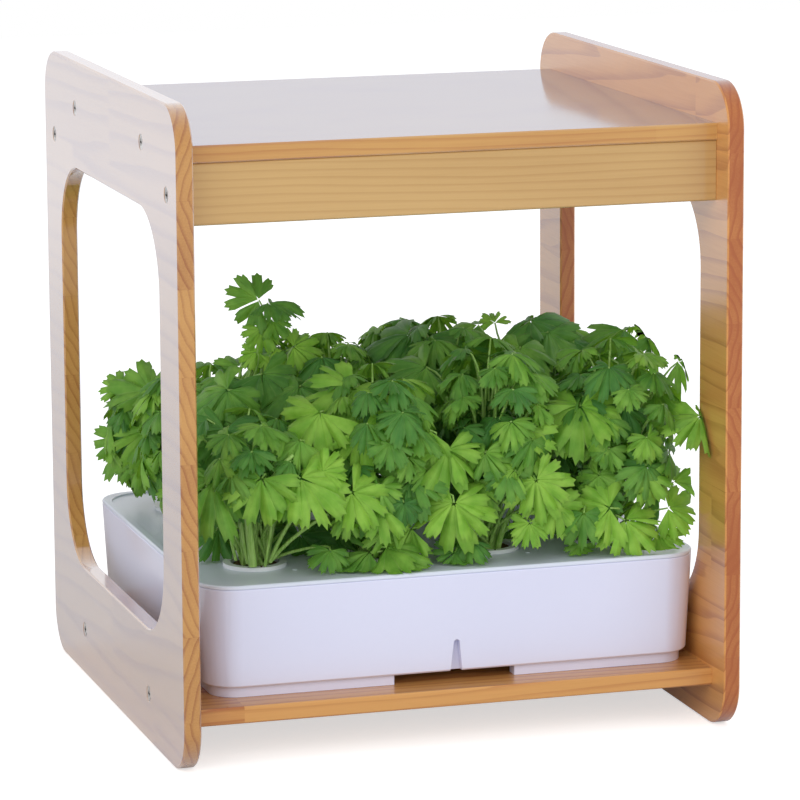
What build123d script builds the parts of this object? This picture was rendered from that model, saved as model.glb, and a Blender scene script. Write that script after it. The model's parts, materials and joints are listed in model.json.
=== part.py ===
from build123d import *
from math import radians, tan
import os

# Indoor herb planter: a pine frame with a lamp under its top board, and on its
# bottom shelf a plastic water tank whose lid holds twelve planted net cups.
# Millimetres. X is right, Y is back, Z is up. The origin is on the ground, at
# the middle of the frame.

os.makedirs("parts", exist_ok=True)

# Driving sizes of the wooden frame
frame_width = 352.0
frame_depth = 353.0
frame_height = 400.0
panel_thickness = 10.5
board_thickness = 10.5
wood_edge_bevel = 0.9

# Side panels: rounded outline and rounded window
panel_corner_radius = 28.0
window_front_margin = 46.5
window_rear_margin = 43.5
window_bottom = 71.0
window_top_margin = 69.0
window_radius = 48.0

# Boards between the panels
top_board_drop = 24.8
board_front_setback = 18.9
board_rear_setback = 21.1
shelf_height = 25.0
shelf_setback = 21.1
rail_height = 37.0
rail_setback = 1.0

# Screws through the panels into the ends of the boards
screw_head_radius = 4.8
screw_shank_radius = 1.9
screw_shank_sides = 6
screw_length = 38.0
screw_play = 0.1
screw_end_play = 0.5
screw_head_sink = 0.2
top_screw_inset = 67.5
shelf_screw_inset = 68.4

# Lamp under the top board
lamp_side_gap = 17.5
lamp_front_gap = 14.0
lamp_rear_gap = 26.0
lamp_height = 14.0
lamp_wall = 1.5
lamp_lip = 6.0
lamp_corner_radius = 10.0
ear_length = 13.0
ear_width = 22.0
ear_thickness = 2.0
ear_inset = 35.0
lamp_screw_head_radius = 3.6
lamp_screw_head_height = 1.8
lamp_screw_sides = 6
led_board_margin = 6.0
led_board_thickness = 1.6
led_side = 5.0
led_height = 1.4
led_columns = 6
led_rows = 4
led_edge = 22.0
diffuser_thickness = 2.5
diffuser_play = 0.4

# Control box behind the lamp, with its socket and button in the rear rail
control_width = 84.0
control_height = 27.0
control_wall = 1.8
control_radius = 2.5
control_play = 0.3
control_side_gap = 53.5
timer_board_thickness = 1.6
timer_board_inset = 3.0
capacitor_radius = 4.0
capacitor_height = 7.0
chip_side = 9.0
chip_height = 1.6
socket_spacing = 44.0
socket_body_radius = 5.6
socket_flange_radius = 8.0
socket_flange_height = 1.6
socket_bore_radius = 3.2
socket_bore_depth = 9.0
socket_pin_radius = 1.0
button_radius = 5.0
button_ring_radius = 8.0
button_proud = 2.4
button_travel = 1.5
button_play = 0.25
button_rim = 1.2
flange_bevel = 0.5
switch_side = 6.0
switch_height = 4.0
capacitor_spacing = 14.0

# Water tank
tank_left_gap = 12.0
tank_right_gap = 1.2
tank_front_setback = 14.4
tank_rear_setback = 5.4
tank_corner_radius = 24.0
tank_wall = 2.6
tank_height = 61.4
tank_draft = 3.2
tank_foot_bevel = 1.2
tank_rim_bevel = 0.5
plinth_height = 6.7
plinth_inset = 4.0
plinth_wall = 9.0
plinth_gap = 77.0
notch_top_width = 3.6
notch_bottom_width = 7.6
notch_height = 20.0
notch_depth = 5.0

# Lid of the tank
lid_edge = 2.6
lid_border = 5.0
lid_recess = 1.0
lid_edge_bevel = 0.8
lid_plate = 2.2
lid_field_radius = 26.0
skirt_depth = 6.0
skirt_wall = 1.6
skirt_play = 0.8
pip_radius = 1.5
pip_height = 0.5
pip_sides = 8
pip_beside = 19.6
pip_ahead = 21.0

# Net cups in the lid
cup_columns = 4
cup_rows = 3
cup_side_margin = 46.5
cup_end_margin = 57.6
cup_hole_radius = 17.0
cup_play = 0.4
cup_wall = 1.2
cup_collar = 2.6
cup_collar_height = 2.4
cup_collar_lip = 0.4
cup_depth = 42.0
cup_foot_radius = 12.5
cup_straps = 3
cup_strap_width = 4.0
cup_notch_width = 1.6
sponge_height = 24.0
sponge_sink = 1.0
sponge_play = 0.2
sponge_sides = 8
half_turn = 180.0

# Plants: parsley crowns on a bunch of stems
stem_radius = 8.0
neck_radius = 15.0
neck_height = 24.0
crown_height = 135.0
crown_gap = 0.6
crown_wall_gap = 1.2
crown_overhang_front = 12.0
crown_rear_inset = 6.0
crown_profile = ((0.12, 0.84), (0.4, 1.0), (0.74, 0.92), (1.0, 0.5))
corner_share = 0.22
sprig_row = 1
sprig_column = 0
sprig_lean = 14.0
sprig_root = 14.0
sprig_width = 34.0
sprig_waist = 16.0
sprig_rise = 55.0
sprig_foot_share = 0.4
sprig_tip_share = 0.45

cut_over = 1.0


# Places worked out from the sizes above
half_width = frame_width / 2
half_depth = frame_depth / 2
inner_half_width = half_width - panel_thickness
inner_width = 2 * inner_half_width

board_front = -half_depth + board_front_setback
board_rear = half_depth - board_rear_setback
top_board_top = frame_height - top_board_drop
top_board_bottom = top_board_top - board_thickness
rail_bottom = top_board_bottom - rail_height
rail_front = board_front + rail_setback
rail_rear = board_rear - rail_setback
rail_middle_z = top_board_bottom - rail_height / 2
shelf_bottom = shelf_height
shelf_top = shelf_bottom + board_thickness
shelf_front = -half_depth + shelf_setback
shelf_rear = half_depth - shelf_setback

tank_left = -inner_half_width + tank_left_gap
tank_right = inner_half_width - tank_right_gap
tank_front = shelf_front + tank_front_setback
tank_rear = shelf_rear - tank_rear_setback
tank_width = tank_right - tank_left
tank_depth = tank_rear - tank_front
tank_x = (tank_left + tank_right) / 2
tank_y = (tank_front + tank_rear) / 2
tank_bottom = shelf_top + plinth_height
tank_top = tank_bottom + tank_height

lid_top = tank_top + lid_edge
field_top = lid_top - lid_recess
field_bottom = field_top - lid_plate

cup_pitch_x = (tank_width - 2 * cup_side_margin) / (cup_columns - 1)
cup_pitch_y = (tank_depth - 2 * cup_end_margin) / (cup_rows - 1)

cup_places = [
    (
        tank_x + (column - (cup_columns - 1) / 2) * cup_pitch_x,
        tank_y + (row - (cup_rows - 1) / 2) * cup_pitch_y,
    )
    for row in range(cup_rows)
    for column in range(cup_columns)
]

lamp_width = inner_width - 2 * lamp_side_gap
lamp_front = rail_front + board_thickness + lamp_front_gap
lamp_rear = rail_rear - board_thickness - lamp_rear_gap
lamp_depth = lamp_rear - lamp_front
lamp_y = (lamp_front + lamp_rear) / 2
lamp_bottom = top_board_bottom - lamp_height
lamp_ear_places = [
    (side * (lamp_width / 2 + ear_length / 2), y)
    for side in (-1, 1)
    for y in (lamp_front + ear_inset, lamp_rear - ear_inset)
]

rail_inner = rail_rear - board_thickness
control_x = inner_half_width - control_side_gap - control_width / 2
control_y = (lamp_rear + rail_inner) / 2
control_depth = rail_inner - lamp_rear
control_ear_places = [
    (control_x + side * (control_width / 2 + ear_length / 2), control_y) for side in (-1, 1)
]
lamp_screw_places = lamp_ear_places + control_ear_places


def side_plane(side, distance):
    """Upright plane that faces outwards at this distance left (-1) or right (1)."""
    return Plane(origin=(side * distance, 0, 0), x_dir=(0, side, 0), z_dir=(side, 0, 0))


def on_side(side, places):
    """Turn (y, z) places into the flat coordinates of a side plane."""
    return [(side * y, z) for y, z in places]


def rear_plane(y):
    """Upright plane that faces backwards."""
    return Plane(origin=(0, y, 0), x_dir=(-1, 0, 0), z_dir=(0, 1, 0))


top_screws = [
    (y, top_board_top - board_thickness / 2)
    for y in (board_front + top_screw_inset, board_rear - top_screw_inset)
]
rail_screws = [
    (rail_front + board_thickness / 2, rail_middle_z),
    (rail_rear - board_thickness / 2, rail_middle_z),
]
shelf_screws = [
    (y, shelf_top - board_thickness / 2)
    for y in (shelf_front + shelf_screw_inset, shelf_rear - shelf_screw_inset)
]
panel_screw_places = top_screws + rail_screws + shelf_screws


def cut_shank_holes(plane, places, depth):
    """Cut the screws' six-sided holes into the part that is being built."""
    with BuildSketch(plane) as outline:
        with Locations(*places):
            RegularPolygon(screw_shank_radius + screw_play, screw_shank_sides)
    extrude(outline.sketch, amount=-depth, mode=Mode.SUBTRACT)


def make_panel(side):
    """Side panel with its window and countersunk screw holes."""
    seat_radius = screw_head_radius + screw_head_sink + screw_play
    hole_radius = screw_shank_radius + screw_play
    window_front = -half_depth + window_front_margin
    window_rear = half_depth - window_rear_margin
    window_top = frame_height - window_top_margin
    with BuildPart() as panel:
        with BuildSketch(side_plane(side, half_width)):
            with Locations((0, frame_height / 2)):
                RectangleRounded(frame_depth, frame_height, panel_corner_radius)
            with Locations((side * (window_front + window_rear) / 2, (window_bottom + window_top) / 2)):
                RectangleRounded(
                    window_rear - window_front,
                    window_top - window_bottom,
                    window_radius,
                    mode=Mode.SUBTRACT,
                )
        extrude(amount=-panel_thickness)
        chamfer(panel.faces().filter_by(Axis.X).edges(), wood_edge_bevel)
        cut_shank_holes(
            side_plane(side, half_width), on_side(side, panel_screw_places), panel_thickness
        )
        with Locations(side_plane(side, half_width)):
            with Locations(*on_side(side, panel_screw_places)):
                Cone(
                    hole_radius,
                    seat_radius,
                    seat_radius - hole_radius,
                    align=(Align.CENTER, Align.CENTER, Align.MAX),
                    mode=Mode.SUBTRACT,
                )
    return panel


def make_board(y_front, y_rear, z_bottom, z_top, screws):
    """Board between the panels, with pilot holes in both ends."""
    with BuildPart() as board:
        with BuildSketch(Plane.YZ.offset(-inner_half_width)):
            with Locations(((y_front + y_rear) / 2, (z_bottom + z_top) / 2)):
                Rectangle(y_rear - y_front, z_top - z_bottom)
        extrude(amount=inner_width)
        chamfer(board.edges().filter_by(Axis.X), wood_edge_bevel)
        for side in (-1, 1):
            cut_shank_holes(
                side_plane(side, inner_half_width),
                on_side(side, screws),
                screw_length - panel_thickness,
            )
    return board


left_panel = make_panel(-1)
left_panel.part.label = "left_panel"
export_step(left_panel.part, "parts/left_panel.step")

right_panel = make_panel(1)
right_panel.part.label = "right_panel"
export_step(right_panel.part, "parts/right_panel.step")

top_board = make_board(board_front, board_rear, top_board_bottom, top_board_top, top_screws)
top_board.part.label = "top_board"
export_step(top_board.part, "parts/top_board.step")

front_rail = make_board(
    rail_front, rail_front + board_thickness, rail_bottom, top_board_bottom, rail_screws[:1]
)
front_rail.part.label = "front_rail"
export_step(front_rail.part, "parts/front_rail.step")

bottom_shelf = make_board(shelf_front, shelf_rear, shelf_bottom, shelf_top, shelf_screws)
bottom_shelf.part.label = "bottom_shelf"
export_step(bottom_shelf.part, "parts/bottom_shelf.step")


# Rear rail: the same board, bored for the socket and the button
control_z = top_board_bottom - control_play - control_height / 2
socket_place = (control_x + socket_spacing / 2, control_z)
button_place = (control_x - socket_spacing / 2, control_z)

rear_rail = make_board(
    rail_rear - board_thickness, rail_rear, rail_bottom, top_board_bottom, rail_screws[1:]
)
with rear_rail:
    with Locations(rear_plane(rail_rear)):
        with Locations((-socket_place[0], socket_place[1])):
            Hole(socket_body_radius + button_play)
        with Locations((-button_place[0], button_place[1])):
            Hole(button_radius + button_play + button_rim + screw_play)
rear_rail.part.label = "rear_rail"
export_step(rear_rail.part, "parts/rear_rail.step")


# Panel screws: countersunk heads on shanks that reach into the boards
head_face = half_width - screw_head_sink
head_height = screw_head_radius - screw_shank_radius
with BuildPart() as panel_screws:
    for side in (-1, 1):
        with Locations(side_plane(side, head_face)):
            with Locations(*on_side(side, panel_screw_places)):
                Cone(
                    screw_shank_radius,
                    screw_head_radius,
                    head_height,
                    align=(Align.CENTER, Align.CENTER, Align.MAX),
                )
        with BuildSketch(side_plane(side, head_face - head_height)):
            with Locations(*on_side(side, panel_screw_places)):
                RegularPolygon(screw_shank_radius, screw_shank_sides)
        extrude(amount=-(screw_length - head_height - screw_end_play))
panel_screws.part.label = "panel_screws"
export_step(panel_screws.part, "parts/panel_screws.step")


# Lamp housing: a shallow pan that opens downwards, with a lip and four ears
with BuildPart() as lamp_housing:
    with BuildSketch(Plane.XY.offset(lamp_bottom)):
        with Locations((0, lamp_y)):
            RectangleRounded(lamp_width, lamp_depth, lamp_corner_radius)
    extrude(amount=lamp_height)
    with BuildSketch(Plane.XY.offset(lamp_bottom + lamp_wall)):
        with Locations((0, lamp_y)):
            RectangleRounded(
                lamp_width - 2 * lamp_wall,
                lamp_depth - 2 * lamp_wall,
                lamp_corner_radius - lamp_wall,
            )
    extrude(amount=lamp_height - 2 * lamp_wall, mode=Mode.SUBTRACT)
    with BuildSketch(Plane.XY.offset(lamp_bottom)):
        with Locations((0, lamp_y)):
            RectangleRounded(
                lamp_width - 2 * lamp_lip,
                lamp_depth - 2 * lamp_lip,
                lamp_corner_radius - lamp_wall,
            )
    extrude(amount=lamp_wall, mode=Mode.SUBTRACT)
    with BuildSketch(Plane.XY.offset(top_board_bottom - ear_thickness)):
        with Locations(*lamp_ear_places):
            Rectangle(ear_length, ear_width)
    extrude(amount=ear_thickness)
lamp_housing.part.label = "lamp_housing"
export_step(lamp_housing.part, "parts/lamp_housing.step")


# Led board under the pan, with a grid of square chips below it
led_board_top = top_board_bottom - lamp_wall
led_board_bottom = led_board_top - led_board_thickness
with BuildPart() as led_board:
    with BuildSketch(Plane.XY.offset(led_board_bottom)):
        with Locations((0, lamp_y)):
            Rectangle(
                lamp_width - 2 * lamp_wall - 2 * led_board_margin,
                lamp_depth - 2 * lamp_wall - 2 * led_board_margin,
            )
    extrude(amount=led_board_thickness)
led_board.part.label = "led_board"
export_step(led_board.part, "parts/led_board.step")

led_pitch_x = (lamp_width - 2 * lamp_wall - 2 * led_board_margin - 2 * led_edge) / (led_columns - 1)
led_pitch_y = (lamp_depth - 2 * lamp_wall - 2 * led_board_margin - 2 * led_edge) / (led_rows - 1)
with BuildPart() as led_chips:
    with BuildSketch(Plane.XY.offset(led_board_bottom)):
        with Locations((0, lamp_y)):
            with GridLocations(led_pitch_x, led_pitch_y, led_columns, led_rows):
                Rectangle(led_side, led_side)
    extrude(amount=-led_height)
led_chips.part.label = "led_chips"
export_step(led_chips.part, "parts/led_chips.step")

# Diffuser: a sheet that lies on the lip of the pan
with BuildPart() as lamp_diffuser:
    with BuildSketch(Plane.XY.offset(lamp_bottom + lamp_wall)):
        with Locations((0, lamp_y)):
            RectangleRounded(
                lamp_width - 2 * lamp_wall - 2 * diffuser_play,
                lamp_depth - 2 * lamp_wall - 2 * diffuser_play,
                lamp_corner_radius - lamp_wall,
            )
    extrude(amount=diffuser_thickness)
lamp_diffuser.part.label = "lamp_diffuser"
export_step(lamp_diffuser.part, "parts/lamp_diffuser.step")

# Control box: open towards the rear rail, held up by two ears
with BuildPart() as control_box:
    with BuildSketch(Plane.XY.offset(top_board_bottom - control_height)):
        with Locations((control_x, control_y)):
            Rectangle(control_width, control_depth)
    extrude(amount=control_height)
    fillet(control_box.edges().filter_by(Axis.Y).group_by(Axis.Z)[0], control_radius)
    with BuildSketch(Plane.XZ.offset(-rail_inner)):
        with Locations((control_x, top_board_bottom - control_height / 2)):
            Rectangle(control_width - 2 * control_wall, control_height - 2 * control_wall)
    extrude(amount=control_depth - control_wall, mode=Mode.SUBTRACT)
    with BuildSketch(Plane.XY.offset(top_board_bottom - ear_thickness)):
        with Locations(*control_ear_places):
            Rectangle(ear_length, control_depth - 2 * control_wall)
    extrude(amount=ear_thickness)
control_box.part.label = "control_box"
export_step(control_box.part, "parts/control_box.step")

# Hexagon heads of the screws that hold the lamp and the control box to the top board
with BuildPart() as lamp_screws:
    with BuildSketch(Plane.XY.offset(top_board_bottom - ear_thickness)):
        with Locations(*lamp_screw_places):
            RegularPolygon(lamp_screw_head_radius, lamp_screw_sides)
    extrude(amount=-lamp_screw_head_height)
lamp_screws.part.label = "lamp_screws"
export_step(lamp_screws.part, "parts/lamp_screws.step")

# Timer board, upright in the control box, with its capacitor, chip and switch
timer_front = lamp_rear + control_wall + timer_board_inset
timer_rear = timer_front + timer_board_thickness
with BuildPart() as timer_board:
    with BuildSketch(rear_plane(timer_front)):
        with Locations((-control_x, top_board_bottom - control_height / 2)):
            Rectangle(
                control_width - 2 * control_wall - 2 * control_play,
                control_height - 2 * control_wall - 2 * control_play,
            )
    extrude(amount=timer_board_thickness)
    with BuildSketch(rear_plane(timer_rear)):
        with Locations((-control_x, control_z)):
            Rectangle(chip_side, chip_side)
    extrude(amount=chip_height)
    with BuildSketch(rear_plane(timer_rear)):
        with Locations((-button_place[0], button_place[1])):
            Rectangle(switch_side, switch_side)
    extrude(amount=switch_height)
    with BuildSketch(rear_plane(timer_rear)):
        with Locations((-socket_place[0] - capacitor_spacing, control_z)):
            Circle(capacitor_radius)
    extrude(amount=capacitor_height)
timer_board.part.label = "timer_board"
export_step(timer_board.part, "parts/timer_board.step")

# Power socket: a round body through the rail, with a flange outside it
with BuildPart() as power_socket:
    with BuildSketch(rear_plane(timer_rear)):
        with Locations((-socket_place[0], socket_place[1])):
            Circle(socket_body_radius)
    extrude(amount=rail_rear - timer_rear)
    with BuildSketch(rear_plane(rail_rear)):
        with Locations((-socket_place[0], socket_place[1])):
            Circle(socket_flange_radius)
    extrude(amount=socket_flange_height)
    chamfer(power_socket.faces().sort_by(Axis.Y)[-1].edges(), flange_bevel)
    with BuildSketch(rear_plane(rail_rear + socket_flange_height - socket_bore_depth)):
        with Locations((-socket_place[0], socket_place[1])):
            Circle(socket_bore_radius)
            Circle(socket_pin_radius, mode=Mode.SUBTRACT)
    extrude(amount=socket_bore_depth, mode=Mode.SUBTRACT)
power_socket.part.label = "power_socket"
export_step(power_socket.part, "parts/power_socket.step")

# Button ring: a sleeve through the rail, with a flange like the socket's
ring_bore = button_radius + button_play
with BuildPart() as button_ring:
    with BuildSketch(rear_plane(rail_inner)):
        with Locations((-button_place[0], button_place[1])):
            Circle(ring_bore + button_rim)
            Circle(ring_bore, mode=Mode.SUBTRACT)
    extrude(amount=board_thickness)
    with BuildSketch(rear_plane(rail_rear)):
        with Locations((-button_place[0], button_place[1])):
            Circle(button_ring_radius)
            Circle(ring_bore, mode=Mode.SUBTRACT)
    extrude(amount=socket_flange_height)
button_ring.part.label = "button_ring"
export_step(button_ring.part, "parts/button_ring.step")

# Timer button: slides in the ring, and its collar keeps it from falling out
button_inner = timer_rear + switch_height + button_travel + button_play
with BuildPart() as timer_button:
    with BuildSketch(rear_plane(button_inner)):
        with Locations((-button_place[0], button_place[1])):
            Circle(button_radius)
    extrude(amount=rail_rear + socket_flange_height + button_proud - button_inner)
    chamfer(timer_button.faces().sort_by(Axis.Y)[-1].edges(), flange_bevel)
    with BuildSketch(rear_plane(button_inner)):
        with Locations((-button_place[0], button_place[1])):
            Circle(ring_bore + button_rim / 2)
    extrude(amount=rail_inner - button_play - button_inner)
timer_button.part.label = "timer_button"
export_step(timer_button.part, "parts/timer_button.step")


def tank_outline(inset, radius=None, mode=Mode.ADD):
    """Rounded rectangle of the tank, drawn this far inside its outer wall."""
    corner = tank_corner_radius - inset if radius is None else radius
    with Locations((tank_x, tank_y)):
        RectangleRounded(tank_width - 2 * inset, tank_depth - 2 * inset, corner, mode=mode)


def notch_outline(y, z_low, grow):
    """Round-topped, tapered outline of the notch in the tank's front wall."""
    top = notch_top_width / 2 + grow
    bottom = notch_bottom_width / 2 + grow
    spring = tank_bottom + notch_height - notch_top_width / 2
    left_foot = (tank_x - bottom, z_low)
    right_foot = (tank_x + bottom, z_low)
    left_top = (tank_x - top, spring)
    right_top = (tank_x + top, spring)
    crown = (tank_x, spring + top)
    with BuildSketch(Plane.XZ.offset(-y)) as outline:
        with BuildLine():
            Line(left_foot, left_top)
            ThreePointArc(left_top, crown, right_top)
            Line(right_top, right_foot)
            Line(right_foot, left_foot)
        make_face()
    return outline.sketch


# Water tank: moulded shell that widens upwards, with a bevelled foot, plinth and notched front
foot_inset = tank_height * tan(radians(tank_draft))
floor_inset = foot_inset - tank_wall * tan(radians(tank_draft))
foot_front = tank_front + foot_inset
with BuildPart() as water_tank:
    with BuildSketch(Plane.XY.offset(tank_bottom)):
        tank_outline(foot_inset)
    extrude(amount=tank_height, taper=-tank_draft)
    chamfer(water_tank.faces().sort_by(Axis.Z)[0].edges(), tank_foot_bevel)
    chamfer(water_tank.faces().sort_by(Axis.Z)[-1].edges(), tank_rim_bevel)
    with BuildSketch(Plane.XY.offset(tank_bottom + tank_wall)):
        tank_outline(floor_inset + tank_wall)
    extrude(amount=tank_height, taper=-tank_draft, mode=Mode.SUBTRACT)
    with BuildSketch(Plane.XY.offset(shelf_top)):
        tank_outline(foot_inset + plinth_inset)
        tank_outline(foot_inset + plinth_inset + plinth_wall, mode=Mode.SUBTRACT)
        with Locations((tank_x, tank_y)):
            Rectangle(plinth_gap, tank_depth, mode=Mode.SUBTRACT)
    extrude(amount=plinth_height)
    extrude(
        notch_outline(foot_front, tank_bottom + tank_wall / 2, tank_wall),
        amount=-(notch_depth + tank_wall),
    )
    extrude(
        notch_outline(tank_front, tank_bottom - cut_over, 0),
        amount=-(foot_inset + notch_depth),
        mode=Mode.SUBTRACT,
    )
water_tank.part.label = "water_tank"
export_step(water_tank.part, "parts/water_tank.step")

# Tank lid: raised border, sunken field with cup holes, and a skirt inside the tank
skirt_inset = tank_wall + skirt_play
with BuildPart() as tank_lid:
    with BuildSketch(Plane.XY.offset(tank_top)):
        tank_outline(0)
    extrude(amount=lid_edge)
    chamfer(tank_lid.faces().sort_by(Axis.Z)[-1].edges(), lid_edge_bevel)
    chamfer(tank_lid.faces().sort_by(Axis.Z)[0].edges(), tank_rim_bevel)
    with BuildSketch(Plane.XY.offset(field_top)):
        tank_outline(lid_border, lid_field_radius)
    extrude(amount=lid_recess, mode=Mode.SUBTRACT)
    with BuildSketch(Plane.XY.offset(field_bottom)):
        tank_outline(skirt_inset)
    extrude(amount=tank_top - field_bottom)
    with BuildSketch(Plane.XY.offset(tank_top - skirt_depth)):
        tank_outline(skirt_inset)
        tank_outline(skirt_inset + skirt_wall, mode=Mode.SUBTRACT)
    extrude(amount=skirt_depth)
    with BuildSketch(Plane.XY.offset(field_bottom)):
        with Locations(*cup_places):
            Circle(cup_hole_radius)
    extrude(amount=lid_plate + lid_recess, mode=Mode.SUBTRACT)
    with BuildSketch(Plane.XY.offset(field_top)):
        with Locations(*[(x + pip_beside, y - pip_ahead) for x, y in cup_places]):
            RegularPolygon(pip_radius, pip_sides)
    extrude(amount=pip_height)
tank_lid.part.label = "tank_lid"
export_step(tank_lid.part, "parts/tank_lid.step")


# Net cups, each with a sponge and a plant
cup_bottom = field_top - cup_depth
cup_top = field_top + cup_collar_height
cup_mouth = cup_hole_radius - cup_play
sponge_top = cup_top - sponge_sink
sponge_bottom = sponge_top - sponge_height


def cup_inner_radius(z):
    """Inner radius of the tapered cup wall at this height."""
    share = (z - cup_bottom) / (field_top - cup_bottom)
    return cup_foot_radius + share * (cup_mouth - cup_foot_radius) - cup_wall


cup_bore = cup_inner_radius(field_top) - cup_collar_lip


# Open basket of a net cup: three straps that cross under the sponge
floor_top = cup_bottom + cup_wall
with BuildPart() as basket:
    with BuildSketch(Plane.XZ) as strap_side:
        with BuildLine():
            Polyline(
                (-cup_mouth, field_top),
                (-cup_foot_radius, cup_bottom),
                (cup_foot_radius, cup_bottom),
                (cup_mouth, field_top),
                (cup_inner_radius(field_top), field_top),
                (cup_inner_radius(floor_top), floor_top),
                (-cup_inner_radius(floor_top), floor_top),
                (-cup_inner_radius(field_top), field_top),
                (-cup_mouth, field_top),
            )
        make_face()
    strap = extrude(amount=cup_strap_width / 2, both=True, mode=Mode.PRIVATE)
    with PolarLocations(0, cup_straps, angular_range=half_turn):
        add(strap)


def make_cup(x, y):
    """Net cup: a notched collar on the basket."""
    with BuildPart() as cup:
        with BuildSketch(Plane.XY.offset(field_top)):
            with Locations((x, y)):
                Circle(cup_hole_radius + cup_collar)
                Circle(cup_bore, mode=Mode.SUBTRACT)
        extrude(amount=cup_collar_height)
        with Locations((x, y)):
            add(basket.part)
        with Locations((x, y - cup_inner_radius(field_top), field_top)):
            Box(
                cup_notch_width,
                2 * cup_collar,
                cup_collar_height,
                align=(Align.CENTER, Align.CENTER, Align.MIN),
                mode=Mode.SUBTRACT,
            )
    return cup


def make_sponge(x, y):
    """Eight-sided, tapered foam plug that fills the collar and is held by the straps."""
    with BuildPart() as sponge:
        with BuildSketch(Plane.XY.offset(sponge_bottom)):
            with Locations((x, y)):
                RegularPolygon(cup_inner_radius(sponge_bottom) - sponge_play, sponge_sides)
        with BuildSketch(Plane.XY.offset(sponge_top)):
            with Locations((x, y)):
                RegularPolygon(cup_bore - sponge_play, sponge_sides)
        loft()
    return sponge


def section(x, y, z, wide, deep, corner_share):
    """Flat octagon, a rectangle with cut corners, at this height."""
    with BuildSketch(Plane.XY.offset(z)) as flat:
        with Locations((x, y)):
            Rectangle(wide, deep)
        chamfer(flat.vertices(), corner_share * min(wide, deep))
    return flat.sketch


def make_plant(row, column, height_share):
    """Bunch of stems that opens into a leafy crown over its share of the lid."""
    x, y = cup_places[row * cup_columns + column]
    left = x - cup_pitch_x / 2 + crown_gap / 2
    right = x + cup_pitch_x / 2 - crown_gap / 2
    front = y - cup_pitch_y / 2 + crown_gap / 2
    rear = y + cup_pitch_y / 2 - crown_gap / 2
    if column == 0:
        left = -inner_half_width + crown_wall_gap
    if column == cup_columns - 1:
        right = inner_half_width - crown_wall_gap
    if row == 0:
        front = tank_front - crown_overhang_front
    if row == cup_rows - 1:
        rear = tank_rear - crown_rear_inset
    top = lid_top + height_share * crown_height
    neck = sponge_top + neck_height
    middle_x = (left + right) / 2
    middle_y = (front + rear) / 2
    sections = [
        section(x, y, sponge_top, 2 * stem_radius, 2 * stem_radius, corner_share),
        section(x, y, neck, 2 * neck_radius, 2 * neck_radius, corner_share),
    ]
    for rise, spread in crown_profile:
        z = neck + rise * (top - neck)
        wide = spread * (right - left)
        deep = spread * (rear - front)
        sections.append(section(middle_x, middle_y, z, wide, deep, corner_share))
    with BuildPart() as plant:
        loft(sections, ruled=True)
    return plant


plant_height_shares = [
    [0.74, 0.91, 1.0, 0.96],
    [0.82, 0.94, 0.99, 0.89],
    [0.67, 0.82, 0.86, 0.77],
]

for row in range(cup_rows):
    for column in range(cup_columns):
        x, y = cup_places[row * cup_columns + column]
        number = row * cup_columns + column + 1

        net_cup = make_cup(x, y)
        net_cup.part.label = f"net_cup_{number}"
        export_step(net_cup.part, f"parts/net_cup_{number}.step")

        sponge = make_sponge(x, y)
        sponge.part.label = f"sponge_{number}"
        export_step(sponge.part, f"parts/sponge_{number}.step")

        plant = make_plant(row, column, plant_height_shares[row][column])
        if (row, column) == (sprig_row, sprig_column):
            crown_top = lid_top + plant_height_shares[row][column] * crown_height
            sprig_sections = [
                section(x + sprig_lean, y, crown_top + rise, wide, wide, corner_share)
                for rise, wide in (
                    (-sprig_root, sprig_width * sprig_foot_share),
                    (sprig_waist, sprig_width),
                    (sprig_rise, sprig_width * sprig_tip_share),
                )
            ]
            with plant:
                loft(sprig_sections, ruled=True)
        plant.part.label = f"plant_{number}"
        export_step(plant.part, f"parts/plant_{number}.step")
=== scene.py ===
# %% [markdown]
# # Indoor herb planter
# A pine frame holds a hidden lamp over a white water tank, and parsley grows out of
# twelve net cups in the tank's lid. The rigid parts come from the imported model, in
# metres, and this lesson gives them their finish and grows the plants.

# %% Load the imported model
import bpy
import bmesh
import json
import math
import random
from mathutils import Matrix, Vector, noise

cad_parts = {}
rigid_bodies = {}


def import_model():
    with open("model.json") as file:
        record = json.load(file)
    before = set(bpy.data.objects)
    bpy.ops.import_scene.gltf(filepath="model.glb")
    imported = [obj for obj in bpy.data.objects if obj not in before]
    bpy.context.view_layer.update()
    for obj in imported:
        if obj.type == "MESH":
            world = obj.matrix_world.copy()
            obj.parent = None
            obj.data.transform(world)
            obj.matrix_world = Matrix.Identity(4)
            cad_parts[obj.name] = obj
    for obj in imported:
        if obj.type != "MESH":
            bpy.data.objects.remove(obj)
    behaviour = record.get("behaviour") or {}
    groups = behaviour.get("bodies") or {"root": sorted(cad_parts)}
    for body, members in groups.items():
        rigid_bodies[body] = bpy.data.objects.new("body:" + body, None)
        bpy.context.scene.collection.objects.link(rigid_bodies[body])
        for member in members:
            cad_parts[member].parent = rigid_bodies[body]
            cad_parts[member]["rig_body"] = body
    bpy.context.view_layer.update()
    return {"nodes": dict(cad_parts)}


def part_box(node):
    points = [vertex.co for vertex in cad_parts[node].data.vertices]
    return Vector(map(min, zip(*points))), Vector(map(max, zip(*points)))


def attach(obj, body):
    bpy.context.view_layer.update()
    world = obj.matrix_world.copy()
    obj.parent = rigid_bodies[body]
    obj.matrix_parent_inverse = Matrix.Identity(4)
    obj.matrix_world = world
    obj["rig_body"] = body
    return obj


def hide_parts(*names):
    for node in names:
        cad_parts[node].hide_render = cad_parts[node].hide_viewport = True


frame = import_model()
MM = 0.001

# %% [markdown]
# ## The photographer's camera
# A long lens about 2.8 m away, a little above the planter and turned 17 degrees to its
# left. The angles come from the straight edges of the frame. The small shift of the
# lens puts the middle of the picture where the photograph has it.

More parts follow.
